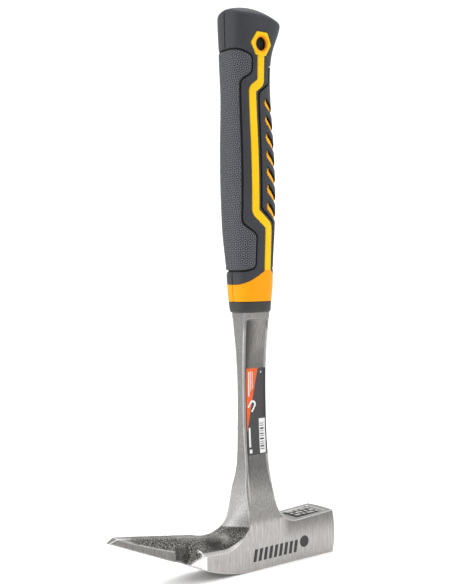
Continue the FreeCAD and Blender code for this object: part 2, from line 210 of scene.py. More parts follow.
def make_piece(name, points, faces, materials, slot, node=None, material_index=None, relief=None):
    """A mesh object in the hammer's frame that rides on the hammer's only body."""
    mesh = bpy.data.meshes.new(name)
    faces = faces if isinstance(faces, list) else faces.tolist()
    mesh.from_pydata((np.asarray(points) * MM).tolist(), [], faces)
    mesh.validate()
    piece = placed(name, mesh)
    for material in materials:
        mesh.materials.append(material)
    if material_index is not None:
        mesh.polygons.foreach_set("material_index", material_index)
    if relief is not None:
        attribute = mesh.attributes.new("relief", "FLOAT", "POINT")
        attribute.data.foreach_set("value", np.asarray(relief, np.float32))
    settle(piece, slot, node)
    return piece


def settle(piece, slot, node=None):
    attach(piece, "root")
    if node:
        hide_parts(node)


def smooth_shading(piece, degrees=35.0):
    piece.data.shade_smooth()
    piece.data.set_sharp_from_angle(angle=math.radians(degrees))


def add_thickness(piece, thickness, rim_material=0):
    """Closes an open sheet into a solid by growing it inwards, and applies the result."""
    solidify = piece.modifiers.new("thickness", "SOLIDIFY")
    solidify.thickness = thickness * MM
    solidify.offset = -1.0
    solidify.material_offset_rim = rim_material
    apply_modifiers(piece)


def apply_modifiers(piece):
    depsgraph = bpy.context.evaluated_depsgraph_get()
    evaluated = piece.evaluated_get(depsgraph)
    mesh = bpy.data.meshes.new_from_object(evaluated)
    old = piece.data
    piece.modifiers.clear()
    piece.data = mesh
    bpy.data.meshes.remove(old)


def spline(knots, values, at):
    """Natural cubic spline."""
    x = np.asarray(knots, float)
    y = np.asarray(values, float)
    step = np.diff(x)
    count = len(x)
    matrix = np.eye(count)
    right = np.zeros(count)
    for i in range(1, count - 1):
        matrix[i, i - 1:i + 2] = step[i - 1], 2 * (step[i - 1] + step[i]), step[i]
        right[i] = 6 * ((y[i + 1] - y[i]) / step[i] - (y[i] - y[i - 1]) / step[i - 1])
    bend = np.linalg.solve(matrix, right)
    i = np.clip(np.searchsorted(x, at) - 1, 0, count - 2)
    a = (x[i + 1] - at) / step[i]
    b = 1 - a
    curve = ((a ** 3 - a) * bend[i] + (b ** 3 - b) * bend[i + 1]) * step[i] ** 2 / 6
    return a * y[i] + b * y[i + 1] + curve


def rounded(points, radius, closed=True):
    """The outline with each corner replaced by a short arc."""
    result = []
    count = len(points)
    for i, corner in enumerate(points):
        if not closed and i in (0, count - 1):
            result.append(corner)
            continue
        here = Vector(corner)
        before = Vector(points[i - 1]) - here
        after = Vector(points[(i + 1) % count]) - here
        reach = min(radius, before.length * 0.45, after.length * 0.45)
        start = here + before.normalized() * reach
        end = here + after.normalized() * reach
        for step in range(7):
            t = step / 6
            point = start * (1 - t) ** 2 + here * 2 * t * (1 - t) + end * t ** 2
            result.append(tuple(point))
    return result


# ---------------------------------------------------------------- grip surface

def grip_sizes(z, inset):
    z = np.asarray(z, float)
    heights = [station[0] for station in GRIP]
    rear, front, half_y = (spline(heights, [s[k] for s in GRIP], z) for k in (1, 2, 3))
    return (front - rear) / 2, (rear + front) / 2 - inset, half_y - inset


def grip_section(z, inset, columns):
    """Evenly spaced points (x, y) round the grip's section at height z, from +X."""
    centre, half_x, half_y = grip_sizes(z, inset)
    angle = np.linspace(0, 2 * np.pi, 1441)
    power = 2 / GRIP_POWER
    x = centre + half_x * np.sign(np.cos(angle)) * np.abs(np.cos(angle)) ** power
    y = half_y * np.sign(np.sin(angle)) * np.abs(np.sin(angle)) ** power
    along = np.concatenate([[0], np.cumsum(np.hypot(np.diff(x), np.diff(y)))])
    at = np.linspace(0, along[-1], columns, endpoint=False)
    return np.interp(at, along, x), np.interp(at, along, y), at


def butt_z(x, y):
    return BUTT_TOP - (x - BUTT_CENTRE_X) ** 2 / (2 * BUTT_RADIUS_X) - y ** 2 / (2 * BUTT_RADIUS_Y)


def grip_sheet(low_z, inset, step):
    """Triangle mesh of the grip's outside from low_z over the butt. The columns of the
    result are x, y, z and the distance round the section."""
    columns = 2 * int(48 / step)
    top_z = 320.0               # section that the butt takes up
    bend_z = 300.0              # above it the rows start to follow the butt
    rim_rows = 8
    butt_rows = 26
    rows = []
    top_x, top_y = grip_section(top_z, inset, columns)[:2]
    centre = np.array([BUTT_CENTRE_X, 0.0])
    out = np.stack([top_x, top_y], 1) - centre
    inward = -out / np.linalg.norm(out, axis=1, keepdims=True)
    slope = np.arctan2(-(inward[:, 0] * (top_x - BUTT_CENTRE_X) / BUTT_RADIUS_X
                         + inward[:, 1] * top_y / BUTT_RADIUS_Y), 1)
    sweep = np.pi / 2 - np.abs(slope)
    reach = RIM_ROUNDING * (1 - np.cos(sweep))
    lip = np.stack([top_x, top_y], 1) + inward * reach[:, None]
    start_z = butt_z(lip[:, 0], lip[:, 1]) - RIM_ROUNDING * np.sin(sweep) - inset
    for z in np.arange(low_z, bend_z, step):
        x, y, s = grip_section(z, inset, columns)
        rows.append(np.stack([x, y, np.full(columns, z), s], 1))
    count = int((start_z.max() - bend_z) / step)
    for share in np.linspace(0, 1, count):
        level = bend_z + share * (start_z.mean() - bend_z)
        x, y, s = grip_section(min(level, top_z), inset, columns)
        z = bend_z + share * (start_z - bend_z)
        rows.append(np.stack([x, y, z, s], 1))
    base = rows[-1]
    for share in np.linspace(0, 1, rim_rows)[1:]:
        angle = sweep * share
        xy = base[:, :2] + inward * (RIM_ROUNDING * (1 - np.cos(angle)))[:, None]
        z = start_z + RIM_ROUNDING * np.sin(angle)
        rows.append(np.column_stack([xy, z, base[:, 3]]))
    edge = rows[-1][:, :2]
    lift = rows[-1][:, 2] - (butt_z(edge[:, 0], edge[:, 1]) - inset)
    for share in np.linspace(1, 0, butt_rows)[1:-1]:
        xy = centre + (edge - centre) * share
        z = butt_z(xy[:, 0], xy[:, 1]) - inset + lift * share
        rows.append(np.column_stack([xy, z, base[:, 3]]))
    points = np.concatenate(rows)
    tip = np.array([[centre[0], 0, BUTT_TOP - inset, 0]])
    first = np.arange(columns)
    after = (first + 1) % columns
    tris = []
    for row in range(len(rows) - 1):
        a = row * columns + first
        b = row * columns + after
        c = b + columns
        d = a + columns
        tris.append(np.stack([a, b, c], 1))
        tris.append(np.stack([a, c, d], 1))
    last = (len(rows) - 1) * columns
    peak = np.full(columns, len(points))
    tris.append(np.stack([last + first, last + after, peak], 1))
    return np.concatenate([points, tip]), np.concatenate(tris)


def vertex_normals(points, tris):
    a, b, c = (points[tris[:, k], :3] for k in range(3))
    face = np.cross(b - a, c - a)
    normals = np.zeros((len(points), 3))
    for k in range(3):
        np.add.at(normals, tris[:, k], face)
    return normals / np.maximum(np.linalg.norm(normals, axis=1, keepdims=True), 1e-12)


def outline_distance(points, outline):
    """Distance in the side view to a closed outline, positive inside, with its slope
    along x and z."""
    x, z = points[:, 0], points[:, 2]
    nearest = np.full(len(points), 1e9)
    grad = np.zeros((len(points), 2))
    inside = np.zeros(len(points), bool)
    for i in range(len(outline)):
        ax, az = outline[i - 1]
        bx, bz = outline[i]
        dx, dz = bx - ax, bz - az
        length = dx * dx + dz * dz
        if length < 1e-12:
            continue
        t = np.clip(((x - ax) * dx + (z - az) * dz) / length, 0, 1)
        ox = x - ax - t * dx
        oz = z - az - t * dz
        distance = np.hypot(ox, oz)
        closer = distance < nearest
        nearest = np.where(closer, distance, nearest)
        unit = np.stack([ox, oz], 1) / np.maximum(distance, 1e-9)[:, None]
        grad = np.where(closer[:, None], unit, grad)
        crosses = (az > z) != (bz > z)
        with np.errstate(divide="ignore", invalid="ignore"):
            left = x < ax + (z - az) * dx / dz if dz else np.zeros(len(x), bool)
        inside ^= crosses & left
    sign = np.where(inside, 1.0, -1.0)
    return nearest * sign, grad * -sign[:, None]


def surface_distance(points, normals, outline):
    """Signed distance to an outline, measured along the grip's surface."""
    value, grad = outline_distance(points, outline)
    lean = grad[:, 0] * normals[:, 0] + grad[:, 1] * normals[:, 2]
    return value / np.sqrt(np.clip(1 - lean ** 2, 0.12, 1))


def cut_mesh(points, tris, value, snap=0.05):
    """Splits the triangles along value = 0, adding the crossing points."""
    value = np.where(np.abs(value) < snap, 0.0, value)
    sign = np.sign(value)[tris]
    mixed = (sign.min(1) < 0) & (sign.max(1) > 0)
    work = tris[mixed]
    sign = sign[mixed]
    total = np.sign(sign.sum(1))
    touching = (sign == 0).any(1)
    odd = np.where(touching, np.argmax(sign == 0, axis=1), np.argmax(sign != total[:, None], axis=1))
    order = (odd[:, None] + np.arange(3)) % 3
    work = np.take_along_axis(work, order, 1)
    a, b, c = work.T
    one = ~touching
    edges = np.concatenate([
        np.stack([b[touching], c[touching]], 1),
        np.stack([a[one], b[one]], 1),
        np.stack([a[one], c[one]], 1),
    ])
    edges, inverse = np.unique(np.sort(edges, 1), axis=0, return_inverse=True)
    inverse = inverse.ravel() + len(points)
    first, second = value[edges[:, 0]], value[edges[:, 1]]
    share = (first / (first - second))[:, None]
    added = points[edges[:, 0]] * (1 - share) + points[edges[:, 1]] * share
    n_touching = int(touching.sum())
    n_one = int(one.sum())
    m = inverse[:n_touching]
    p = inverse[n_touching:n_touching + n_one]
    q = inverse[n_touching + n_one:]
    pieces = [
        tris[~mixed],
        np.stack([a[touching], b[touching], m], 1),
        np.stack([a[touching], m, c[touching]], 1),
        np.stack([a[one], p, q], 1),
        np.stack([p, b[one], c[one]], 1),
        np.stack([p, c[one], q], 1),
    ]
    return np.concatenate([points, added]), np.concatenate(pieces)


def smoothstep(low, high, value):
    t = np.clip((value - low) / (high - low), 0, 1)
    return t * t * (3 - 2 * t)


def groove(distance, depth, half, edge):
    """Depth below the surface at that distance from the middle of a groove."""
    return depth * (1 - smoothstep(half, half + edge, np.abs(distance)))


def take(points, tris, chosen):
    """The chosen triangles, with only their own points, and which points those are."""
    used, inverse = np.unique(tris[chosen], return_inverse=True)
    return points[used], inverse.reshape(-1, 3), used


# ---------------------------------------------------------------- grip outlines

def stripe_outline():
    path = [Vector(point) for point in rounded(STRIPE_PATH, 1.6, closed=False)]
    left = []
    right = []
    for i, point in enumerate(path):
        back = path[max(i - 1, 0)]
        ahead = path[min(i + 1, len(path) - 1)]
        along = (ahead - back).normalized()
        normal = Vector((-along.y, along.x))
        left.append(tuple(point + normal * STRIPE_HALF))
        right.append(tuple(point - normal * STRIPE_HALF))
    return left + right[::-1]


def eyelet_outline():
    return [(EYELET_RADIUS * math.cos(math.radians(60 * k)),
             EYELET_Z + EYELET_RADIUS * math.sin(math.radians(60 * k))) for k in range(6)]


def circle_outline(radius, steps=48):
    return [(radius * math.cos(2 * math.pi * k / steps),
             EYELET_Z + radius * math.sin(2 * math.pi * k / steps)) for k in range(steps)]


def slot_outline(index, ledge=0.0):
    top = SLOT_TOP_Z - index * SLOT_PITCH
    fall = SLOT_SLOPE * (PAST - SLOT_LEFT_X)
    corners = [
        (SLOT_LEFT_X + 1.2 + 0.8 * ledge, top), (SLOT_LEFT_X + ledge, top - SLOT_HEIGHT + 1.1 * ledge),
        (PAST, top - SLOT_HEIGHT - fall + 0.6 * ledge), (PAST, top - fall),
    ]
    return rounded(corners, 0.7)


def union(*distances):
    return np.maximum.reduce(distances)


# ---------------------------------------------------------------- materials

def new_material(name):
    material = bpy.data.materials.new(name)
    material.use_nodes = True
    nodes = material.node_tree.nodes
    nodes.clear()
    output = nodes.new("ShaderNodeOutputMaterial")
    shader = nodes.new("ShaderNodeBsdfPrincipled")
    material.node_tree.links.new(shader.outputs["BSDF"], output.inputs["Surface"])
    return material, Tree(material.node_tree), shader


class Tree:
    """Short ways to add the nodes that the materials share."""

    def __init__(self, tree):
        self.nodes = tree.nodes
        self.links = tree.links
        self.place = self.nodes.new("ShaderNodeTexCoord").outputs["Object"]

    def link(self, source, target):
        self.links.new(source, target)

    def noise(self, scale, detail=3.0, stretch=(1, 1, 1), roughness=0.5):
        mapping = self.nodes.new("ShaderNodeMapping")
        mapping.inputs["Scale"].default_value = stretch
        self.link(self.place, mapping.inputs["Vector"])
        node = self.nodes.new("ShaderNodeTexNoise")
        node.inputs["Scale"].default_value = scale
        node.inputs["Detail"].default_value = detail
        node.inputs["Roughness"].default_value = roughness
        self.link(mapping.outputs["Vector"], node.inputs["Vector"])
        return node.outputs["Fac"]

    def ramp(self, source, *stops):
        node = self.nodes.new("ShaderNodeValToRGB")
        elements = node.color_ramp.elements
        while len(elements) < len(stops):
            elements.new(0.5)
        for element, (position, value) in zip(elements, stops):
            element.position = position
            element.color = colour(value)
        self.link(source, node.inputs["Fac"])
        return node.outputs["Color"]

    def mix(self, share, first, second):
        node = self.nodes.new("ShaderNodeMix")
        node.data_type = "RGBA"
        self.link(share, node.inputs[0])
        for source, target in ((first, 6), (second, 7)):
            if isinstance(source, bpy.types.NodeSocket):
                self.link(source, node.inputs[target])
            else:
                node.inputs[target].default_value = colour(source)
        return node.outputs[2]

    def math(self, operation, first, second):
        node = self.nodes.new("ShaderNodeMath")
        node.operation = operation
        for source, target in zip((first, second), node.inputs):
            if isinstance(source, bpy.types.NodeSocket):
                self.link(source, target)
            else:
                target.default_value = source
        return node.outputs[0]

    def times(self, first, second):
        return self.math("MULTIPLY", first, second)

    def plus(self, first, second):
        return self.math("ADD", first, second)

    def grain(self, speckle, spread, roughness, distance, shader, strength):
        """Roughness and fine relief that follow the same speckle."""
        self.link(self.plus(self.times(speckle, spread), roughness), shader.inputs["Roughness"])
        self.bump(speckle, distance, shader, strength)

    def attribute(self, name):
        node = self.nodes.new("ShaderNodeAttribute")
        node.attribute_name = name
        return node.outputs["Fac"]

    def bump(self, height, distance, shader, strength=1.0):
        node = self.nodes.new("ShaderNodeBump")
        node.inputs["Distance"].default_value = distance
        node.inputs["Strength"].default_value = strength
        self.link(height, node.inputs["Height"])
        self.link(node.outputs["Normal"], shader.inputs["Normal"])


def colour(value):
    if isinstance(value, (int, float)):
        return (value, value, value, 1.0)
    return (*value, 1.0)


def steel_material():
    """Ground and brushed steel, with dark forging skin where the mesh says so."""
    material, tree, shader = new_material("forged_steel")
    streaks = tree.noise(1.0, 4.0, (2000, 2000, 55), 0.6)
    fine = tree.noise(1.0, 3.0, (5200, 5200, 240), 0.55)
    cloud = tree.noise(42.0, 4.0)
    brushed = tree.plus(tree.times(streaks, 0.55), tree.times(fine, 0.45))
    bright = tree.ramp(brushed, (0.36, (0.24, 0.230, 0.221)), (0.52, (0.41, 0.397, 0.384)),
                       (0.68, (0.60, 0.586, 0.571)))
    bright = tree.mix(tree.times(cloud, 0.4), bright, (0.36, 0.347, 0.333))
    sparkle = tree.ramp(tree.noise(2600.0, 3.0, (1, 1, 0.4), 0.6), (0.40, 0.26), (0.62, 0.60))
    bright = tree.mix(tree.times(tree.attribute("satin"), 0.55), bright, sparkle)
    # painted shade: the ground steel darker up the shank, high on the block and low on the spike
    bright = tree.mix(tree.attribute("side_shade"), bright, (0.030, 0.028, 0.026))
    # painted shade in the shank's dish, along its rims
    bright = tree.mix(tree.times(tree.attribute("dish_shade"), 0.86), bright, (0.03, 0.028, 0.026))
    # edges rubbed bright, with a painted highlight along them
    bright = tree.mix(tree.times(tree.attribute("edge_polish_and_highlight"), 0.6), bright, (0.84, 0.83, 0.82))
    # ground finish on the taper beside the puller, with a painted highlight making it nearly white
    ground = tree.attribute("ground")
    bright = tree.mix(ground, bright, (0.78, 0.77, 0.76))
    grit = tree.noise(1600.0, 4.0, roughness=0.7)
    patches = tree.noise(190.0, 3.0)
    dark = tree.ramp(grit, (0.39, (0.008, 0.007, 0.006)), (0.52, (0.050, 0.047, 0.042)),
                     (0.64, (0.46, 0.445, 0.42)))
    worn = tree.ramp(patches, (0.42, 0.0), (0.62, 1.0))
    dark = tree.mix(tree.times(worn, 0.3), dark, (0.17, 0.163, 0.152))
    # painted shade: the forging skin darker in the hollow beside the boss, low on the flank, near the shank
    # and in the puller
    hollow_shade = tree.times(tree.attribute("hollow_shade"), 0.85)
    dark = tree.mix(hollow_shade, dark, (0.010, 0.009, 0.008))
    skin = tree.attribute("forging_skin")
    tree.link(tree.mix(skin, bright, dark), shader.inputs["Base Color"])
    metal = tree.math("SUBTRACT", 1.0, tree.times(skin, 0.75))
    tree.link(metal, shader.inputs["Metallic"])
    rough = tree.plus(tree.times(brushed, 0.24), 0.20)
    rough = tree.plus(rough, tree.times(skin, 0.35))
    rough = tree.plus(rough, tree.times(tree.attribute("satin"), 0.20))
    tree.link(rough, shader.inputs["Roughness"])
    grain = tree.times(brushed, tree.math("SUBTRACT", 1.0, skin))
    pits = tree.times(tree.times(grit, skin), 9.0)
    tree.bump(tree.plus(grain, pits), 0.06 * MM, shader, 0.6)
    return material


def rubber_material(name, dark, light, roughness, relief=False):
    """Matte moulded rubber with a fine grain and slight dust in its colour; with relief, a painted highlight
    on the crests of the weave.
    """
    material, tree, shader = new_material(name)
    cloud = tree.noise(38.0, 4.0)
    speckle = tree.noise(1500.0, 2.0)
    mixed = tree.plus(tree.times(cloud, 0.6), tree.times(speckle, 0.4))
    base = tree.ramp(mixed, (0.32, dark), (0.68, light))
    if relief:
        # painted highlight: the crests of the weave are lighter than its hollows
        crest = tree.ramp(tree.attribute("relief"), (0.35, 0.0), (0.75, 1.0))
        raised = tuple(3.8 * part for part in light)
        base = tree.mix(crest, base, raised)
    tree.link(base, shader.inputs["Base Color"])
    shader.inputs["Specular IOR Level"].default_value = 0.32
    tree.grain(speckle, 0.16, roughness, 0.04 * MM, shader, 0.5)
    return material


def accent_material(name, deep, light):
    material, tree, shader = new_material(name)
    cloud = tree.noise(60.0, 3.0)
    speckle = tree.noise(900.0, 2.0)
    tree.link(tree.ramp(cloud, (0.3, deep), (0.7, light)), shader.inputs["Base Color"])
    shader.inputs["Specular IOR Level"].default_value = 0.16
    tree.grain(speckle, 0.15, 0.42, 0.03 * MM, shader, 0.35)
    return material


def plain_material(name, base, roughness, metallic=0.0, grain=900.0):
    material, tree, shader = new_material(name)
    speckle = tree.noise(grain, 3.0)
    darker = tuple(0.86 * part for part in base)
    tree.link(tree.ramp(speckle, (0.35, darker), (0.65, base)), shader.inputs["Base Color"])
    shader.inputs["Metallic"].default_value = metallic
    tree.grain(speckle, 0.12, roughness - 0.06, 0.03 * MM, shader, 0.3)
    return material


steel = steel_material()
skin_rubber = rubber_material("grip_rubber", (0.030, 0.032, 0.038), (0.043, 0.045, 0.053), 0.48)
pad_rubber = rubber_material("textured_rubber", (0.020, 0.021, 0.024), (0.035, 0.036, 0.041), 0.56, True)
groove_black = plain_material("groove_shadow", (0.006, 0.006, 0.007), 0.8)
core_plastic = plain_material("hard_core", (0.021, 0.0205, 0.0195), 0.5)
stripe_yellow = accent_material("accent_yellow", (0.84, 0.52, 0.006), (0.88, 0.56, 0.008))
band_orange = accent_material("accent_orange", (0.85, 0.325, 0.001), (0.89, 0.355, 0.002))
ledge_orange = accent_material("accent_deep", (0.95, 0.40, 0.002), (0.99, 0.46, 0.004))
nickel = plain_material("magnet", (0.72, 0.71, 0.69), 0.25, 1.0, 300.0)
label_dark = plain_material("label_film", (0.040, 0.040, 0.043), 0.34)
label_red = plain_material("label_orange", (0.80, 0.105, 0.008), 0.5)
label_pale = plain_material("label_pale", (0.80, 0.80, 0.79), 0.36)
label_line = plain_material("label_line", (0.17, 0.030, 0.028), 0.36)
print_ink = plain_material("print_ink", (0.018, 0.018, 0.020), 0.42)
steel_plain = plain_material("steel_marks", (0.36, 0.35, 0.34), 0.34, 1.0)
# dark floor of the block's recess
recess_black = plain_material("recess_floor_dark", (0.022, 0.021, 0.020), 0.6)


# ---------------------------------------------------------------- grip pieces

def grip_pieces():
    points, tris = grip_sheet(COLLAR_TOP, 0.0, GRID_STEP)
    pad = rounded(PAD_OUTLINE, 2.8)
    grille = rounded(GRILLE_OUTLINE, 2.0)
    stripe = stripe_outline()
    eyelet = rounded(eyelet_outline(), 0.5)
    mouth = circle_outline(HOLE_MOUTH)
    slots = [slot_outline(k) for k in range(SLOT_COUNT)]

    outlines = {"pad": [pad], "grille": [grille], "slot": slots, "mouth": [mouth],
                "eyelet": [eyelet], "accent": [stripe, BAND_OUTLINE, eyelet]}

    def field(name, at, normals):
        if name == "parting":
            return PARTING_HALF - np.abs(at[:, 1]) - 50.0 * (at[:, 0] > 0)
        return union(*(surface_distance(at, normals, outline) for outline in outlines[name]))

    edge = GROOVE_HALF + GROOVE_EDGE
    cuts = [("pad", 0.0), ("pad", GROOVE_HALF), ("pad", -GROOVE_HALF), ("pad", edge), ("pad", -edge),
            ("grille", 0.0), ("grille", GROOVE_HALF), ("grille", -GROOVE_HALF),
            ("grille", edge), ("grille", -edge),
            ("accent", 0.0), ("accent", 0.3), ("accent", -0.3),
            ("eyelet", 0.0), ("eyelet", 0.45), ("mouth", 0.0), ("slot", 0.0), ("slot", -0.4),
            ("parting", 0.0), ("parting", -0.2)]
    for name, level in cuts:
        value = field(name, points, vertex_normals(points, tris)) - level
        points, tris = cut_mesh(points, tris, value)
    normals = vertex_normals(points, tris)
    near = {name: field(name, points, normals) for name in [*outlines, "parting"]}

    middle = points[tris].mean(1)
    region_near = {name: near[name][tris].mean(1) for name in near}
    in_hole = region_near["mouth"] > 0
    in_accent = (region_near["accent"] > 0) & ~in_hole
    in_pad = (region_near["pad"] > 0) & ~in_accent
    in_grille = (region_near["grille"] > 0) & ~in_accent
    in_slot = in_grille & (region_near["slot"] > 0)
    in_skin = ~(in_hole | in_accent | in_pad | in_grille)

    outside_pad = near["pad"] < 0
    depth = groove(near["pad"], GROOVE_DEPTH, GROOVE_HALF, GROOVE_EDGE)
    depth = np.maximum(depth, groove(near["grille"], GROOVE_DEPTH, GROOVE_HALF, GROOVE_EDGE)
                       * (near["accent"] < 0.3))
    depth = np.maximum(depth, groove(near["accent"], SEAM_DEPTH, 0.05, 0.28))
    depth = np.maximum(depth, groove(near["slot"], 0.35, 0.0, 0.4) * (near["slot"] <= 0.0))
    slope = SLOPE_DEPTH * (1 - smoothstep(GROOVE_HALF, SLOPE_REACH, -near["pad"]))
    depth = np.maximum(depth, slope * outside_pad * smoothstep(0.0, 1.2, -near["accent"]))
    parted = outside_pad & (points[:, 0] < -8) & (points[:, 2] < 325.5)
    parting = np.where(parted, smoothstep(-0.2, 0.0, near["parting"]), 0.0)
    depth = np.maximum(depth, PARTING_DEPTH * parting)
    proud = EYELET_PROUD * smoothstep(0.0, 0.45, near["eyelet"])
    across = points[:, 3] + 0.35 * np.sin(points[:, 2] * 1.7)
    along = points[:, 2] + 0.35 * np.sin(points[:, 3] * 2.1)
    relief = np.sin(np.pi * (across + along) / WEAVE_PITCH) * np.sin(np.pi * (across - along) / WEAVE_PITCH)
    relief = relief * smoothstep(edge, edge + 0.8, near["pad"])
    shift = proud + WEAVE_HEIGHT * relief - depth
    moved = points[:, :3] + normals * shift[:, None]

    # painted shadow: the deep parts of the grooves and of the parting line, and the slotted panel's cut
    # walls, take the black groove-shadow material
    deep = (depth[tris].mean(1) > 0.45 * GROOVE_DEPTH) | ((parting[tris].min(1) > 0.9) & in_skin)
    make = [
        ("grip_skin", in_skin, [skin_rubber, groove_black], "grip_rubber", SKIN - 0.5, deep, 0),
        ("palm_pad", in_pad, [pad_rubber, groove_black], "textured_rubber", SKIN - 0.5, deep, 0),
        ("slotted_panel", in_grille & ~in_slot, [skin_rubber, groove_black], "grip_rubber",
         PANEL_THICKNESS, deep, 1),
    ]
    for name, chosen, materials, slot, thickness, black, rim in make:
        part_points, part_tris, used = take(moved, tris, chosen)
        piece = make_piece(name + "_soft", part_points, part_tris, materials, slot, name,
                           black[chosen].astype(int), 0.5 + 0.5 * relief[used])
        add_thickness(piece, thickness, rim)
        smooth_shading(piece)

    orange = middle[:, 2] < BAND_TOP_Z
    part_points, part_tris = take(moved, tris, in_accent)[:2]
    piece = make_piece("grip_accent_layer", part_points, part_tris, [stripe_yellow, band_orange],
                       "accent_plastic", "grip_accent", orange[in_accent].astype(int))
    add_thickness(piece, SKIN - 0.5)
    smooth_shading(piece)


def accent_underlay():
    """Accent layer under the slotted panel, showing as a ledge in each slot."""
    points, tris = grip_sheet(COLLAR_TOP + 4, PANEL_THICKNESS, GRID_STEP)
    inner = [(x + (0.5 if x < PAST else 0), z) for x, z in GRILLE_OUTLINE]
    slots = [slot_outline(k, LEDGE) for k in range(SLOT_COUNT)]

    def fields(at):
        normals = vertex_normals(at, tris)
        gap = union(*(surface_distance(at, normals, slot) for slot in slots))
        return surface_distance(at, normals, inner), gap

    for pick in (0, 1):
        value = fields(points)[pick]
        points, tris = cut_mesh(points, tris, value)
    area, gap = fields(points)
    chosen = (area[tris].mean(1) > UNDERLAY_MARGIN) & (gap[tris].mean(1) < 0)
    part_points, part_tris = take(points[:, :3], tris, chosen)[:2]
    piece = make_piece("accent_underlay", part_points, part_tris, [ledge_orange, groove_black],
                       "accent_plastic")
    # painted shade: the cut walls of the accent layer take the black groove-shadow material
    add_thickness(piece, SKIN - PANEL_THICKNESS - 0.15, 1)
    smooth_shading(piece)


def ring_strip(rows, columns):
    """Quads between rows of a closed ring."""
    first = np.arange(columns)
    after = (first + 1) % columns
    return np.concatenate([
        np.stack([r * columns + first, r * columns + after,
                  (r + 1) * columns + after, (r + 1) * columns + first], 1)
        for r in range(rows - 1)])


def capped_rows(rows):
    """Points and faces of a solid through closed rows of points, with flat ends."""
    points = np.concatenate(rows)
    columns = len(rows[0])
    faces = ring_strip(len(rows), columns).tolist()
    faces.append(list(range(columns))[::-1])
    faces.append(list(range(len(points) - columns, len(points))))
    return points, faces


def grip_core():
    """Collar below the grip, and the core seen deep in the slots, painted black as shade."""
    levels = [(COLLAR_BOTTOM, 6.0), (COLLAR_BOTTOM, COLLAR_ROUNDING)]
    for step in range(1, 7):
        angle = math.pi / 2 * step / 6
        levels.append((COLLAR_BOTTOM + COLLAR_ROUNDING * (1 - math.cos(angle)),
                       COLLAR_ROUNDING * (1 - math.sin(angle))))
    levels += [(153.5, 0.0), (COLLAR_TOP - 0.35, 0.0), (COLLAR_TOP - 0.05, 0.35), (COLLAR_TOP, SKIN)]
    levels += [(z, SKIN) for z in np.arange(160.0, 321.0, 4.0)]
    rows = []
    for z, inset in levels:
        x, y = grip_section(z, inset, 160)[:2]
        rows.append(np.stack([x, y, np.full_like(x, z)], 1))
    piece = make_piece("grip_core_collar", *capped_rows(rows), [core_plastic, groove_black],
                       "hard_core", "grip_core")
    # painted shade: above the collar the core takes the black groove-shadow material
    for polygon in piece.data.polygons:
        polygon.material_index = int(polygon.center.z > (COLLAR_TOP + 2) * MM)
    smooth_shading(piece, 40)


def side_y(x, z):
    """Half thickness of the grip's outside at a place in the side view."""
    centre, half_x, half_y = grip_sizes(z, 0.0)
    return half_y * (1 - np.abs((x - centre) / half_x) ** GRIP_POWER) ** (1 / GRIP_POWER)


def hole_liners():
    """Rounded mouth of the hanging hole on each side, and the dark bore between them."""
    columns = 72
    angle = np.linspace(0, 2 * np.pi, columns, endpoint=False)
    width = HOLE_MOUTH - HOLE_RADIUS
    profile = [(HOLE_MOUTH - width * math.sin(turn), -EYELET_PROUD + MOUTH_DEPTH * (1 - math.cos(turn)))
               for turn in np.linspace(0, math.pi / 2, 9)]
    profile.append((HOLE_RADIUS, MOUTH_DEPTH + 0.2))
    for side, name in ((-1, "eyelet_mouth_front"), (1, "eyelet_mouth_back")):
        rows = []
        for radius, depth in profile:
            x = radius * np.cos(angle)
            z = EYELET_Z + radius * np.sin(angle)
            rim_x = HOLE_MOUTH * np.cos(angle)
            rim_z = EYELET_Z + HOLE_MOUTH * np.sin(angle)
            rows.append(np.stack([x, side * (side_y(rim_x, rim_z) - depth), z], 1))
        faces = ring_strip(len(rows), columns)
        piece = make_piece(name, np.concatenate(rows), faces if side < 0 else faces[:, ::-1],
                           [band_orange], "accent_plastic")
        add_thickness(piece, 0.6)
        smooth_shading(piece)
    rows = []
    for y in np.linspace(-11.3, 11.3, 9):
        rows.append(np.stack([(HOLE_RADIUS + 0.02) * np.cos(angle), np.full(columns, y),
                              EYELET_Z + (HOLE_RADIUS + 0.02) * np.sin(angle)], 1))
    piece = make_piece("hanging_bore", np.concatenate(rows), ring_strip(len(rows), columns),
                       [groove_black], "hard_core")
    add_thickness(piece, 0.8)
    smooth_shading(piece)


# ---------------------------------------------------------------- forged body

def forging_source():
    """The CAD forging, welded and closed off where it enters the grip."""
    source = bmesh.new()
    source.from_mesh(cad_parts["forged_body"].data)
    bmesh.ops.remove_doubles(source, verts=source.verts, dist=0.002 * MM)
    everything = source.verts[:] + source.edges[:] + source.faces[:]
    cut = bmesh.ops.bisect_plane(source, geom=everything, plane_co=(0, 0, SHANK_CUT * MM),
                                 plane_no=(0, 0, 1), clear_outer=True)
    edges = [item for item in cut["geom_cut"] if isinstance(item, bmesh.types.BMEdge)]
    bmesh.ops.edgeloop_fill(source, edges=edges)
    bmesh.ops.recalc_face_normals(source, faces=source.faces)
    return source


def sharp_points(source):
    """Points along the edges of the forging that grinding would ease."""
    found = []
    limit = math.radians(EDGE_ANGLE)
    for edge in source.edges:
        if len(edge.link_faces) != 2 or edge.calc_face_angle(0.0) < limit:
            continue
        start, end = (vertex.co for vertex in edge.verts)
        count = max(1, int((end - start).length / (EDGE_SPACING * MM)))
        found += [start.lerp(end, k / count) for k in range(count + 1)]
    tree = KDTree(len(found))
    for index, point in enumerate(found):
        tree.insert(point, index)
    tree.balance()
    return tree


def read(items, field, kind=float, width=3):
    """An array of one field of a mesh's items, one row per item."""
    values = np.zeros(len(items) * width, kind)
    items.foreach_get(field, values)
    return values.reshape(-1, width)


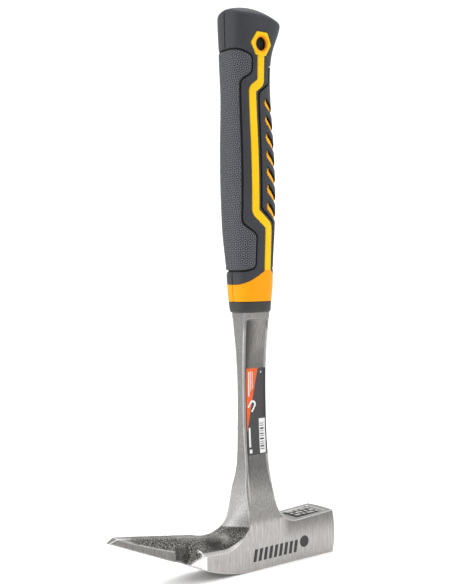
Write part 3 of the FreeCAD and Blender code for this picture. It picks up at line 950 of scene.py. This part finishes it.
def snap_to_cad(mesh, source):
    """The mesh's points moved onto the CAD surface, in millimetres, and how far each is
    from the nearest sharp edge."""
    tree = BVHTree.FromBMesh(source)
    sharp = sharp_points(source)
    points = read(mesh.vertices, "co")
    away = np.zeros(len(points))
    for index, point in enumerate(points):
        place = tree.find_nearest(Vector(point))[0]
        points[index] = place
        away[index] = sharp.find(place)[2]
    return points / MM, away / MM


def relax(points, edges, weight, rounds):
    """Moves each point towards the middle of its neighbours, by its weight, in place."""
    near = edges[(weight[edges] > 0.001).any(1)]
    used, local = np.unique(near, return_inverse=True)
    first, second = local.reshape(-1, 2).T
    place = points[used]
    degree = np.bincount(local.ravel())[:, None]
    share = RELAX_STEP * weight[used][:, None] / degree
    for _ in range(rounds):
        total = np.zeros_like(place)
        for axis in range(3):
            total[:, axis] = (np.bincount(first, place[second, axis], len(used))
                              + np.bincount(second, place[first, axis], len(used)))
        place += (total - degree * place) * share
    points[used] = place


def window(value, rise, fall):
    """1 between two fades, each given as the values where it is 0 and where it is 1."""
    return smoothstep(*rise, value) * smoothstep(*fall, value)


def shank_half(z):
    """Half width and half thickness of the shank at these heights."""
    heights, half_x, half_y = zip(*SHANK)
    return np.interp(z, heights, half_x), np.interp(z, heights, half_y)


def rim_distance(points):
    """0 along the shank's rear corners, where the edge has to stay crisp, and 1 away from them."""
    return smoothstep(0.9, 2.4, shank_half(points[:, 2])[1] - np.abs(points[:, 1]))


def puller_back(points):
    """Where the nail puller's floor runs out into the spike's flank."""
    x, y, z = points.T
    return window(x, *PULLER_BACK_X) * window(y, *PULLER_BACK_Y) * smoothstep(25.0, 23.0, z)


def shoulder(points):
    """Where the shank's sides flow into the head's, away from the shank's corners."""
    x, y, z = points.T
    inside = shank_half(z)[0] - 1.0 - np.abs(x)
    return window(z, *SHOULDER_Z) * smoothstep(0.0, 3.0, inside) * (np.abs(y) > 3.5)


def blend_forging(points, edges, away):
    """Blends the ridge into the shank and the shank into the head, runs out the puller
    and eases the sharp edges. Returns the weight of the flank's blend and of them all."""
    x, y, z = points.T
    rear = rim_distance(points) * (np.abs(y) < FLANK_HALF_Y) * (x < SHANK_REAR_X)
    blend = rear * window(z, *FLANK_Z) * smoothstep(-44.0, -34.0, x) * smoothstep(0.3, 1.6, np.abs(y))
    crest = rear * window(z, *CREST_Z) * smoothstep(-42.0, -32.0, x) * smoothstep(7.0, 4.0, np.abs(y))
    relax(points, edges, blend, FLANK_ROUNDS)
    relax(points, edges, crest, SHOULDER_ROUNDS)
    relax(points, edges, shoulder(points), SHOULDER_ROUNDS)
    blended = np.maximum.reduce([blend, crest, shoulder(points)])
    relax(points, edges, puller_back(points), SHOULDER_ROUNDS)
    relax(points, edges, 1 - smoothstep(0.25 * EDGE_REACH, EDGE_REACH, away), EASE_ROUNDS)
    return blend, blended


def forged_body():
    """The forging with eased edges and forged hollows. Returns its surface for decals."""
    source = forging_source()
    mesh = bpy.data.meshes.new("forging_source")
    source.to_mesh(mesh)
    piece = placed("forged_hammer", mesh)
    remesh = piece.modifiers.new("even", "REMESH")
    remesh.mode = "VOXEL"
    remesh.voxel_size = VOXEL * MM
    apply_modifiers(piece)

    mesh = piece.data
    points, away = snap_to_cad(mesh, source)
    source.free()
    blend, blended = blend_forging(points, read(mesh.edges, "vertices", int, 2), away)
    mesh.vertices.foreach_set("co", (points * MM).ravel())
    mesh.update()

    normals = read(mesh.vertices, "normal")
    in_puller = puller_back(points) > 0.1
    skin = forging_skin(points, normals) * (1 - worn_edges(points, away) * ~in_puller)
    # painted highlight: less forging skin on the boss, so its top shows lighter
    skin = skin * (1 - 0.4 * swelling(points, BOSS, 0.9 * BOSS_RADIUS, 1.0))
    # painted shade in the hollows of the forging skin
    marks = {"forging_skin": skin, "hollow_shade": painted_shade_in_hollows(points)}
    shift = swelling(points, BOSS, BOSS_RADIUS, BOSS_HEIGHT)
    shift -= swelling(points, HOLLOW, HOLLOW_RADIUS, HOLLOW_DEPTH)
    for index in np.flatnonzero(skin > 0.01):
        shift[index] += skin[index] * pitting(points[index])
    points += normals * shift[:, None]
    mesh.vertices.foreach_set("co", (points * MM).ravel())

    z = points[:, 2]
    plain = 1 - 0.8 * np.maximum(in_puller, smoothstep(138.0, 142.0, z))
    # edges rubbed bright, with a painted highlight along them; less in the puller, high on the shank and on
    # blends
    marks["edge_polish_and_highlight"] = smoothstep(0.75, 0.1, away) * (1 - skin) * plain * (1 - smoothstep(0.0, 0.3, blended))
    satin = smoothstep(0.6, 0.85, -normals[:, 0]) * smoothstep(27.0, 31.0, z)
    marks["satin"] = np.maximum(satin, smoothstep(0.0, 0.5, blend) * smoothstep(26.0, 27.0, z))
    # ground finish and painted highlight on the taper beside the puller
    marks["ground"] = ground_facet_and_glint(points, normals)
    # painted shade in the shank's dish
    marks["dish_shade"] = dish_painted_shade(points)
    # painted shade on the ground sides of the steel
    marks["side_shade"] = painted_shade_on_sides(points)
    for name, values in marks.items():
        attribute = mesh.attributes.new(name, "FLOAT", "POINT")
        attribute.data.foreach_set("value", values.astype(np.float32))
    mesh.materials.clear()
    mesh.materials.append(steel)
    settle(piece, "forged_steel", "forged_body")
    mesh.shade_smooth()
    surface = bmesh.new()
    surface.from_mesh(mesh)
    tree = BVHTree.FromBMesh(surface)
    surface.free()
    return tree


# ---------------------------------------------------------------- marks on the steel

def worn_edges(points, away):
    """How far the forging skin is worn off the sharp edges: ragged, and less on the ridge."""
    x, z = points[:, 0], points[:, 2]
    on_ridge = (ridge_height(x) - z < 2.6) & (x > -88)
    ragged = np.array([noise.noise(Vector(point) * 0.8) for point in points])
    worn = smoothstep(0.9, 0.2, away) * np.clip(0.65 + 0.9 * ragged, 0.2, 1.0)
    return worn * (1 - 0.75 * on_ridge)


def dish_painted_shade(points):
    """Painted shade in the shank's dish: along its rear rim, widest below the grip, and a thin painted dark
    line along its front rim.
    """
    x, y, z = points.T
    half_x, half_y = shank_half(z)
    inner = x + half_x - RECESS_RIM_REAR
    outer = half_x - RECESS_RIM_FRONT - x
    floor = smoothstep(0.25, 0.6, half_y - np.abs(y))
    width = 4.0 + 7.0 * smoothstep(100.0, 142.0, z)
    shade = np.maximum(smoothstep(width, 0.0, inner), 0.35 * smoothstep(132.0, 122.0, z))
    shade = shade * smoothstep(-0.4, 0.1, inner)
    edge = 0.5 * smoothstep(1.6, 0.0, outer) * smoothstep(-0.3, 0.1, outer)
    return floor * window(z, *DISH_ENDS_Z) * np.maximum(shade, edge)


def painted_shade_on_sides(points):
    """Painted shade on the ground steel: darker up the shank, high on the block and low on the spike."""
    x, z = points[:, 0], points[:, 2]
    shank = 0.42 * smoothstep(38.0, 66.0, z)
    block_side = 0.58 * smoothstep(11.0, 25.0, z) * smoothstep(12.0, 20.0, x)
    spike_side = 0.55 * smoothstep(-56.0, -60.0, x)
    return np.maximum.reduce([shank, block_side, spike_side])


def painted_shade_in_hollows(points):
    """Painted shade on the forging skin: deep beside the boss, low on the flank, high near the shank and in
    the puller.
    """
    x, y, z = points.T
    low = smoothstep(21.0, 15.5, z + 0.25 * np.clip(-30 - x, 0, 40)) * smoothstep(-62.0, -46.0, x)
    top = smoothstep(22.5, 25.0, z) * smoothstep(-26.0, -20.0, x) * 0.6
    puller = (x > -62.5) & (x < -52.0) & (y > -7.9) & (y < -4.5) & (z < 21.5)
    hollow = swelling(points, HOLLOW, HOLLOW_RADIUS * 1.7, 1.0)
    shade = np.maximum.reduce([low, top, 0.8 * puller, hollow])
    return np.clip(shade - swelling(points, BOSS, BOSS_RADIUS * 0.9, 1.3), 0, 1)


def swelling(points, centre, radius, height):
    """Height of a round bump on the spike's -Y flank."""
    away = np.linalg.norm(points - np.array(centre), axis=1)
    return height * (1 - smoothstep(0.25 * radius, radius, away))


def ridge_height(x):
    start_x, start_z, fall = RIDGE
    return start_z - math.tan(math.radians(fall)) * (x - start_x)


def forging_skin(points, normals):
    """1 where the dark forging skin is left: on the spike's flanks, in its corner with
    the shank and in the nail puller; 0 on the ground faces."""
    x, y, z = points.T
    side = smoothstep(0.955, 0.985, np.abs(normals[:, 1])) * (np.abs(y) > 2.2)
    outer = smoothstep(0.05, 0.3, -normals[:, 2])
    reach = smoothstep(-8.5, -10.5, x) * smoothstep(-92.0, -84.0, x)
    below = smoothstep(SKIN_TOP_Z + 0.5, SKIN_TOP_Z - 0.5, z - 0.5 * np.clip(-28 - x, 0, 60))
    worn = 0.72 + 0.28 * smoothstep(0.2, 2.8, ridge_height(x) - z)
    skin = reach * below * (1 - outer) * (1 - side) * np.where(x < -28, worn, 1.0)
    strip = RIM_FACET * smoothstep(25.5, 17.0, z) * smoothstep(-47.0, -45.0, x)
    skin = skin * smoothstep(strip - 0.3, strip + 0.1, HEAD_HALF - np.abs(y))
    in_puller = (x > -62.5) & (x < -50.0) & (y > -8.3) & (y < -4.5) & (z < 24)
    return np.where(in_puller & (normals[:, 2] > -0.5), np.maximum(skin, 0.9), skin)


def ground_facet_and_glint(points, normals):
    """Bright ground taper beside the nail puller, and its twin: ground finish with a painted highlight that
    makes it nearly white.
    """
    facet = window(points[:, 0], *FACET_X) * (np.abs(points[:, 1]) > 7.5)
    return facet * smoothstep(0.93, 0.97, np.abs(normals[:, 1]))


def pitting(point):
    """Height of the forging's scale, mostly small pits."""
    place = Vector(point)
    coarse = noise.fractal(place * 0.35, 0.9, 2.1, 3)
    fine = noise.noise(place * 1.9)
    return 0.26 * coarse - 0.22 * max(0.0, fine)


# ---------------------------------------------------------------- magnet

def nail_magnet():
    low, high = (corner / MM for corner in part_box("nail_magnet"))
    radius = (high.x - low.x) / 2
    centre_x = (high.x + low.x) / 2
    columns = 64
    angle = np.linspace(0, 2 * np.pi, columns, endpoint=False)
    bevel = 0.35
    profile = [(0.4, low.z), (radius - bevel, low.z)]
    for step in range(1, 6):
        turn = math.pi / 2 * step / 5
        profile.append((radius - bevel + bevel * math.sin(turn), low.z + bevel * (1 - math.cos(turn))))
    profile += [(radius, high.z - 0.05), (0.4, high.z - 0.05)]
    rows = [np.stack([centre_x + r * np.cos(angle), r * np.sin(angle), np.full(columns, z)], 1)
            for r, z in profile]
    piece = make_piece("magnet_disc", *capped_rows(rows), [nickel], "magnet", "nail_magnet")
    smooth_shading(piece)


# ---------------------------------------------------------------- label, print, marks

def quad_patch(corners, steps=(6, 6)):
    """Grid between four corners (x, z), given in order round the quad."""
    a, b, c, d = (np.array(corner, float) for corner in corners)
    return grid_patch(lambda u, v: (a * (1 - u) + b * u) * (1 - v) + (d * (1 - u) + c * u) * v, steps)


def grid_patch(place, steps):
    columns, rows = steps
    points = [place(i / columns, j / rows) for j in range(rows + 1) for i in range(columns + 1)]
    faces = []
    for j in range(rows):
        for i in range(columns):
            low = j * (columns + 1) + i
            faces.append((low, low + 1, low + columns + 2, low + columns + 1))
    return points, faces


def bar(x, z, width, length, steps=(4, 8)):
    return quad_patch([(x, z), (x + width, z), (x + width, z + length), (x, z + length)], steps)


def arc_patch(centre, inner, outer, start, end):
    def place(u, v):
        angle = math.radians(start + (end - start) * u)
        radius = inner + (outer - inner) * v
        return np.array([centre[0] + radius * math.cos(angle), centre[1] + radius * math.sin(angle)])
    return grid_patch(place, (24, 2))


def turned(patch, centre, degrees):
    """The patch, turned about a centre."""
    points, faces = patch
    cos, sin = math.cos(math.radians(degrees)), math.sin(math.radians(degrees))
    offsets = [(x - centre[0], z - centre[1]) for x, z in points]
    return [(centre[0] + x * cos - z * sin, centre[1] + x * sin + z * cos) for x, z in offsets], faces


def merged(parts):
    """Several sets of points and faces as one."""
    points = []
    faces = []
    for part_points, part_faces in parts:
        base = len(points)
        points += list(part_points)
        faces += [[base + index for index in face] for face in part_faces]
    return points, faces


def lay(name, patches, lift, thickness, material, slot, surface, node=None):
    """Thin film over the -Y side of the forging, with these patches."""
    places, faces = merged(patches)
    points = []
    for x, z in places:
        hit = surface.ray_cast(Vector((x * MM, -PAST * MM, z * MM)), Vector((0, 1, 0)))[0]
        points.append((x, hit.y / MM - lift, z))
    piece = make_piece(name, points, faces, [material], slot, node)
    for polygon in piece.data.polygons:
        if polygon.normal.y > 0:
            polygon.flip()
    piece.data.update()
    add_thickness(piece, thickness)


def shank_label(surface):
    """Dark film with a bright corner, plain bars in place of words, and a horseshoe sign."""
    left, right = LABEL_X
    low, high = LABEL_Z

    def label_layer(name, patches, level, material, thickness=FILM, node=None):
        lay(name, patches, LABEL_LIFT + level, thickness, material, "label_film", surface, node)

    film = quad_patch([(left, low), (right, low), (right, high), (left, high)], (16, 40))
    label_layer("label_film_base", [film], 0.0, label_dark, 0.1, "shank_label")
    corner = quad_patch([(left, 80.0), (left + 0.3, 80.0), (2.9, high), (left, high)], (10, 30))
    label_layer("label_corner", [corner], 0.03, label_red)
    pale = [bar(x, z, width, length) for x, z, width, length in (
        (-4.3, 100.5, 0.8, 14.5), (-2.7, 103.5, 0.45, 12.0), (-1.5, 105.0, 0.45, 10.0),
        (-4.6, 70.5, 1.3, 11.5), (-4.5, 67.0, 1.9, 2.2), (4.7, 114.0, 0.9, 0.9),
        (3.3, 66.4, 4.4, 20.5))]
    sign = [arc_patch(LABEL_SIGN, 1.25, 2.45, -30, 190),
            bar(-3.6, 92.4, 1.15, 3.0), bar(0.1, 91.6, 1.15, 2.9)]
    pale += [turned(patch, LABEL_SIGN, LABEL_SIGN_TURN) for patch in sign]
    label_layer("label_marks", pale, 0.06, label_pale)
    lines = [bar(x, z, width, length) for x, z, width, length in (
        (3.3, 89.0, 0.25, 24.0), (3.3, 100.2, 3.6, 0.25), (3.3, 94.4, 3.6, 0.25))]
    label_layer("label_lines", lines, 0.06, label_line)
    stripes = [bar(3.8, z, 3.1, depth, (4, 1)) for z, depth in (
        (68.6, 0.5), (70.0, 0.9), (71.7, 0.4), (72.9, 0.4), (74.3, 1.0), (76.3, 0.4),
        (77.4, 0.7), (79.1, 0.4), (80.4, 1.0), (82.4, 0.5), (83.7, 0.4))]
    label_layer("label_bars", stripes, 0.09, label_dark)


def head_print(surface):
    """Plain slanted hatch and a plain disc on the side of the head."""
    low, high = HATCH_Z
    marks = []
    for index in range(HATCH_COUNT):
        x = HATCH_X + index * HATCH_PITCH
        lower = [(x, low), (x + HATCH_WIDTH, low)]
        upper = [(x + HATCH_LEAN + HATCH_WIDTH, high), (x + HATCH_LEAN, high)]
        marks.append(quad_patch(lower + upper, (3, 5)))
    marks.append(arc_patch(DISC, 0.02, DISC_RADIUS, 0, 360))
    lay("head_mark", marks, INK_LIFT, 0.05, print_ink, "forged_steel", surface)


def block(low, high, bevel):
    """Points and faces of a bar with bevelled upper edges."""
    rows = []
    for inset, z in ((0.0, low[2]), (0.0, high[2] - bevel), (bevel, high[2])):
        left, front = low[0] + inset, low[1] + inset
        right, back = high[0] - inset, high[1] - inset
        rows.append(np.array([(left, front, z), (right, front, z), (right, back, z), (left, back, z)]))
    return capped_rows(rows)


def panel_marks():
    """Dark floor of the block's recess, and the plain raised bars on it."""
    clear = 0.15
    low_x, high_x = PANEL_X[0] + clear, PANEL_X[1] - clear
    half = PANEL_HALF - clear
    floor = block((low_x, -half, PANEL_FLOOR_Z - 0.02), (high_x, half, PANEL_FLOOR_Z + 0.12), 0.02)
    make_piece("recess_floor", *floor, [recess_black], "forged_steel")
    bars = []
    for row, lengths in enumerate(PANEL_ROWS):
        y = -5.4 + row * 4.1
        x = low_x + 1.6
        for length in lengths:
            bars.append(block((x, y, PANEL_FLOOR_Z + 0.1), (x + length, y + 2.4, PANEL_FLOOR_Z + 1.0), 0.25))
            x += length + 1.6
    make_piece("recess_marks", *merged(bars), [steel_plain], "forged_steel")


grip_pieces()
accent_underlay()
grip_core()
hole_liners()
forging = forged_body()
nail_magnet()
shank_label(forging)
head_print(forging)
panel_marks()


# ---------------------------------------------------------------- stage and camera

def studio_camera():
    yaw, pitch, roll = (math.radians(a) for a in (CAMERA_YAW, CAMERA_PITCH, CAMERA_ROLL))
    forward = Vector((math.sin(yaw) * math.cos(pitch), math.cos(yaw) * math.cos(pitch), math.sin(pitch)))
    level = Vector((math.cos(yaw), -math.sin(yaw), 0))
    upright = level.cross(forward)
    right = level * math.cos(roll) + upright * math.sin(roll)
    up = upright * math.cos(roll) - level * math.sin(roll)
    data = bpy.data.cameras.new("studio_camera")
    data.sensor_fit = "VERTICAL"
    data.sensor_height = SENSOR
    data.lens = FOCAL_IN_FRAME_HEIGHTS * SENSOR
    data.clip_end = 50.0
    camera = placed("studio_camera", data)
    turn = Matrix((right, up, -forward)).transposed().to_4x4()
    camera.matrix_world = Matrix.Translation(Vector(CAMERA_PLACE)) @ turn
    bpy.context.scene.camera = camera


def area_light(name, place, aim, size, power, tint=(1, 1, 1)):
    data = bpy.data.lights.new(name, "AREA")
    data.shape = "RECTANGLE"
    data.size, data.size_y = size
    data.energy = power
    data.color = tint
    light = placed(name, data)
    direction = Vector(aim) - Vector(place)
    light.rotation_euler = direction.to_track_quat("-Z", "Y").to_euler()
    light.location = place
    return light


def studio_world():
    """Bright backdrop and ceiling, and a dimmer room behind the camera."""
    world = bpy.data.worlds.new("studio")
    world.use_nodes = True
    tree = world.node_tree
    direction = tree.nodes.new("ShaderNodeTexCoord").outputs["Generated"]
    dot = tree.nodes.new("ShaderNodeVectorMath")
    dot.operation = "DOT_PRODUCT"
    yaw = math.radians(CAMERA_YAW)
    dot.inputs[1].default_value = (math.sin(yaw), math.cos(yaw), 0.75)
    tree.links.new(direction, dot.inputs[0])
    ramp = tree.nodes.new("ShaderNodeMapRange")
    ramp.interpolation_type = "SMOOTHSTEP"
    ramp.inputs["From Min"].default_value = -0.55
    ramp.inputs["From Max"].default_value = 0.35
    ramp.inputs["To Min"].default_value = WORLD_DIM
    ramp.inputs["To Max"].default_value = WORLD_BRIGHT
    tree.links.new(dot.outputs["Value"], ramp.inputs["Value"])
    background = tree.nodes["Background"]
    background.inputs["Color"].default_value = (1, 1, 1, 1)
    tree.links.new(ramp.outputs["Result"], background.inputs["Strength"])
    bpy.context.scene.world = world


def studio():
    studio_world()
    middle = (0, 0, 0.16)
    area_light("key", (-1.3, 0.2, 0.5), middle, (0.6, 1.2), 6.5)
    area_light("fill", (0.15, -1.3, 0.95), middle, (0.8, 0.8), 3.6)
    area_light("top", (0.0, -0.1, 1.5), middle, (1.4, 1.4), 11.0)

    mesh = bpy.data.meshes.new("studio_floor")
    rim = [(FLOOR_RADIUS * math.cos(turn), FLOOR_RADIUS * math.sin(turn), 0)
           for turn in np.linspace(0, 2 * math.pi, 120, endpoint=False)]
    mesh.from_pydata(rim, [], [tuple(range(len(rim)))])
    floor_material, tree, shader = new_material("studio_floor")
    tint = tree.ramp(tree.noise(3.0), (0.4, 0.955), (0.6, 0.97))
    tree.link(tint, shader.inputs["Base Color"])
    shader.inputs["Roughness"].default_value = 0.9
    mesh.materials.append(floor_material)
    floor = placed("studio_floor", mesh)


studio_camera()
studio()
bpy.context.scene.view_settings.view_transform = "Standard"

bpy.context.view_layer.update()
